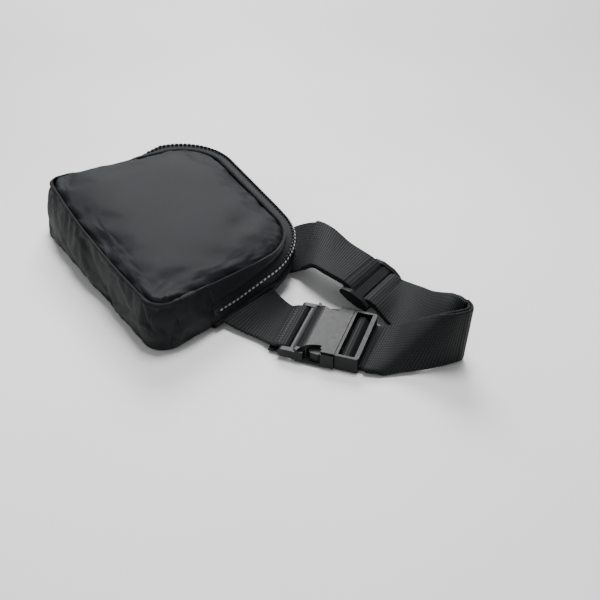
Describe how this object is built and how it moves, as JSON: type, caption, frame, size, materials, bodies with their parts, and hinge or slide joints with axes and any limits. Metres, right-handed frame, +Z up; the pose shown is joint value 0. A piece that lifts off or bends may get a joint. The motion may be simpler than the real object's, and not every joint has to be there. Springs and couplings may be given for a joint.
{
  "type": "throw rope bag",
  "caption": "Small black nylon waist bag with a curved zip, worn on a buckled webbing belt that folds beside it.",
  "frame": {"origin": "middle of the back panel's footprint, on the table the bag lies on", "axes": "+X along the bag's width towards the buckle end, +Y from the bottom edge to the zip edge, +Z up out of the front panel"},
  "size_m": [0.2631, 0.1626, 0.041],
  "materials": {
    "bag_fabric": "woven black nylon, soft sheen",
    "binding": "ribbed black binding tape",
    "zip_tape": "black knitted zip tape",
    "zip_teeth": "moulded light grey teeth",
    "zip_metal": "black painted zip hardware",
    "webbing": "charcoal ribbed nylon webbing",
    "buckle_plastic": "satin dark grey acetal",
    "adjuster_plastic": "satin black acetal"
  },
  "bodies": {
    "bag": {"back_panel": "bag_fabric", "bottom_gusset": "bag_fabric", "zip_strip_lower": "bag_fabric", "zip_tape_lower": "zip_tape", "zip_teeth_lower": "zip_teeth", "zip_closed_end": "zip_teeth", "front_panel_lower": "bag_fabric", "back_seam_binding": "binding", "end_stop_near": "zip_metal", "near_strap": "webbing", "buckle_female": "buckle_plastic", "front_webbing_outer": "webbing", "front_webbing_inner": "webbing", "return_webbing_outer": "webbing", "return_webbing_inner": "webbing", "arched_webbing_main": "webbing", "arched_webbing_tail": "webbing", "under_webbing": "webbing"},
    "flap": {"zip_strip_upper": "bag_fabric", "zip_tape_upper": "zip_tape", "zip_teeth_upper": "zip_teeth", "front_panel_upper": "bag_fabric"},
    "slider": {"zip_slider": "zip_metal", "slider_bridge": "zip_metal"},
    "pull": {"pull_tab": "zip_metal"},
    "male_half": {"buckle_male": "buckle_plastic", "male_webbing_outer": "webbing", "male_webbing_inner": "webbing"},
    "near_prong": {"prong_near": "buckle_plastic"},
    "far_prong": {"prong_far": "buckle_plastic"},
    "adjuster": {"adjuster": "adjuster_plastic", "adjuster_webbing_main": "webbing", "adjuster_webbing_tail": "webbing"}
  },
  "joints": [
    {"name": "mouth_open", "type": "hinge", "parent": "bag", "child": "flap", "pos_m": [0, -0.0186, 0.0425], "axis": [1, 0, 0], "range_deg": [0, 50]},
    {"name": "zip_slide", "type": "slide", "parent": "bag", "child": "slider", "axis": [0.0112, 0.9948, 0.1009], "range_m": [0, 0.011], "deforming": ["zip_teeth_lower", "zip_teeth_upper", "zip_closed_end"]},
    {"name": "pull_swing", "type": "hinge", "parent": "slider", "child": "pull", "pos_m": [-0.08307, -0.03076, 0.02317], "axis": [0.0805, -0.1015, 0.9916], "range_deg": [0, 150]},
    {"name": "buckle_release", "type": "slide", "parent": "bag", "child": "male_half", "axis": [0.7826, 0.6225, 0], "range_m": [0, 0.022], "deforming": ["prong_near", "prong_far", "front_webbing_outer", "front_webbing_inner"]},
    {"name": "near_prong_flex", "type": "hinge", "parent": "male_half", "child": "near_prong", "pos_m": [0.13352, 0.02707, 0.0056], "axis": [0, 0, -1], "range_deg": [0, 8], "stiffness_Nm_per_rad": 0.5},
    {"name": "far_prong_flex", "type": "hinge", "parent": "male_half", "child": "far_prong", "pos_m": [0.11708, 0.04773, 0.0056], "axis": [0, 0, 1], "range_deg": [0, 8], "stiffness_Nm_per_rad": 0.5},
    {"name": "adjuster_slide", "type": "slide", "parent": "bag", "child": "adjuster", "axis": [0.847, 0.3771, -0.3746], "range_m": [-0.012, 0.003], "deforming": ["arched_webbing_main", "arched_webbing_tail", "return_webbing_outer", "return_webbing_inner"]}
  ]
}
